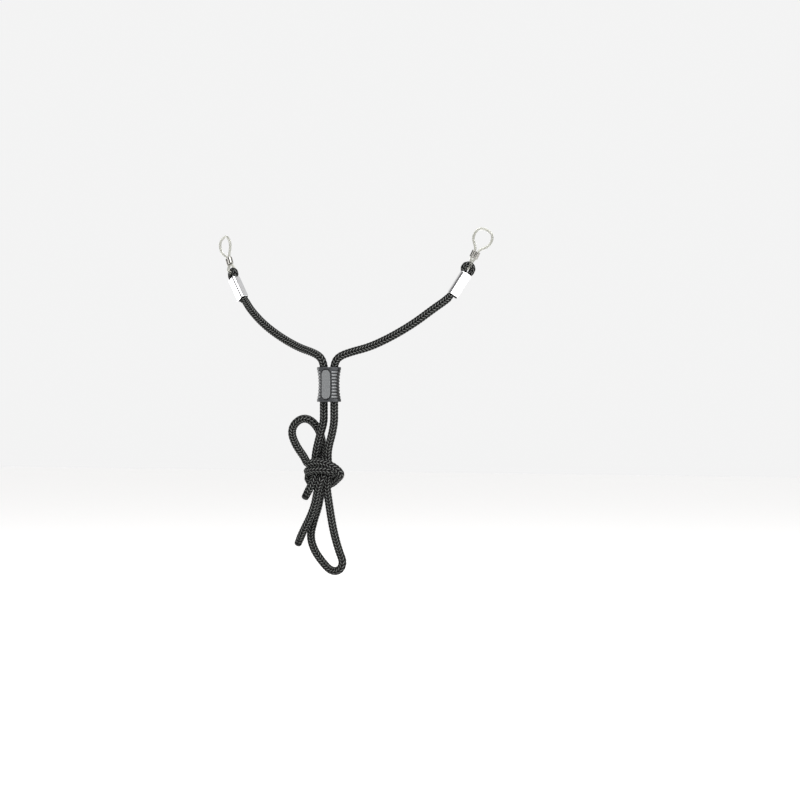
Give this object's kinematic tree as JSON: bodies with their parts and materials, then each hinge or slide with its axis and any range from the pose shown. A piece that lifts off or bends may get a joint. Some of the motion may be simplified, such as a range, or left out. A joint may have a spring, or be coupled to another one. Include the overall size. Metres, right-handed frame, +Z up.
{
  "type": "eyeglass retainer strap",
  "caption": "Adjustable eyeglass retainer strap: braided cords with clear grip loops, crimped metal ferrules, a waisted slider and tails tied in a bow.",
  "frame": {"origin": "midway between the openings of the two temple loops, where the glasses' temple arms hold the strap", "axes": "+Z up as worn, +Y the way the wearer faces, +X to the wearer's right"},
  "size_m": [0.1538, 0.0398, 0.1749],
  "materials": {
    "cord": "black braided polyester, faint grey sheen on each stitch",
    "sealed_tip": "braid melted to a smooth dark end",
    "slider": "dark grey satin moulded plastic",
    "ferrule": "bright plated sheet metal, soft rounded corners",
    "silicone": "clear silicone",
    "sleeve": "bright nickel barrel"
  },
  "bodies": {
    "cord_set": {"left_arm": "cord", "right_arm": "cord", "left_tail": "cord", "right_tail": "cord", "bow_knot": "cord", "upper_loop": "cord", "side_loop": "cord", "lower_loop": "cord", "short_end": "cord", "short_tip": "sealed_tip", "long_end": "cord", "long_tip": "sealed_tip", "left_eye": "cord", "right_eye": "cord", "left_ferrule": "ferrule", "right_ferrule": "ferrule"},
    "slider": {"slider": "slider"},
    "right_loop": {"right_temple_loop": "silicone"},
    "left_loop": {"left_temple_loop": "silicone"},
    "right_sleeve": {"right_sleeve": "sleeve"},
    "left_sleeve": {"left_sleeve": "sleeve"}
  },
  "joints": [
    {"name": "slider_slide", "type": "slide", "parent": "cord_set", "child": "slider", "axis": [0, 0, 1], "range_m": [-0.006, 0]},
    {"name": "right_loop_swing", "type": "hinge", "parent": "cord_set", "child": "right_loop", "pos_m": [0.06649, -0.00307, -0.01258], "axis": [0.7784, 0.4494, -0.4384], "range_deg": [-25, 25]},
    {"name": "left_loop_swing", "type": "hinge", "parent": "cord_set", "child": "left_loop", "pos_m": [-0.06649, -0.00307, -0.01258], "axis": [0.7784, -0.4494, 0.4384], "range_deg": [-25, 25]},
    {"name": "right_sleeve_slide", "type": "slide", "parent": "right_loop", "child": "right_sleeve", "axis": [0.3796, 0.2192, 0.8988], "range_m": [0, 0.001]},
    {"name": "left_sleeve_slide", "type": "slide", "parent": "left_loop", "child": "left_sleeve", "axis": [-0.3796, 0.2192, 0.8988], "range_m": [0, 0.001]}
  ]
}
